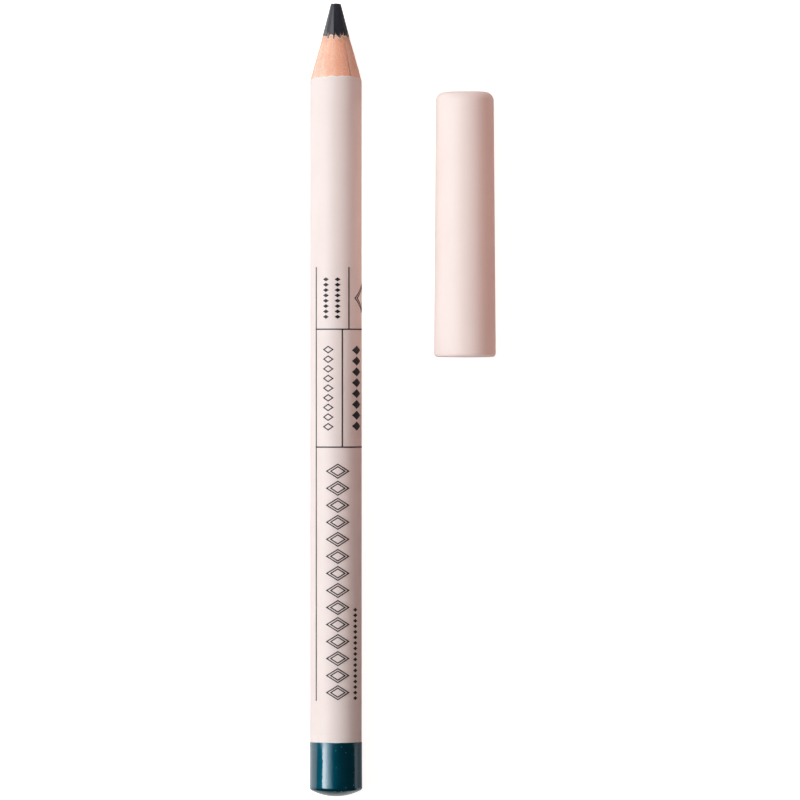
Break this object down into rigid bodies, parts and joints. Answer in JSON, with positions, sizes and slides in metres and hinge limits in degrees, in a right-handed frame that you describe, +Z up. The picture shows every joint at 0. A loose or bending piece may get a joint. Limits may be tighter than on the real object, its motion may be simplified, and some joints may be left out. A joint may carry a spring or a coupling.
{
  "type": "eyeliner pencil",
  "caption": "Sharpened round wooden eyeliner pencil with a colour-dipped butt end and panel print, and its push-on plastic cap lying beside it.",
  "frame": {"origin": "middle of the footprint of the pencil and the cap, on the surface that they lie on", "axes": "+Y along the pencil towards its point, +X from the pencil towards the cap, +Z up from the surface"},
  "size_m": [0.0288, 0.1226, 0.0096],
  "materials": {
    "pigment": "soft wax pigment, faintly satin where the sharpener cut it",
    "cedar": "bare sharpened softwood, fuzzy along the grain",
    "lacquer": "pale blush lacquer, satin",
    "dip": "deep teal dipping lacquer, high gloss",
    "ink": "black screen-printed ink, matte",
    "cap_plastic": "pale blush moulded plastic, satin"
  },
  "bodies": {
    "root": {"pigment_core": "pigment", "left_slat": "cedar", "right_slat": "cedar", "lacquer_coat": "lacquer", "end_dip": "dip", "printed_rules": "ink", "printed_lozenges": "ink", "cap": "cap_plastic"}
  },
  "joints": []
}
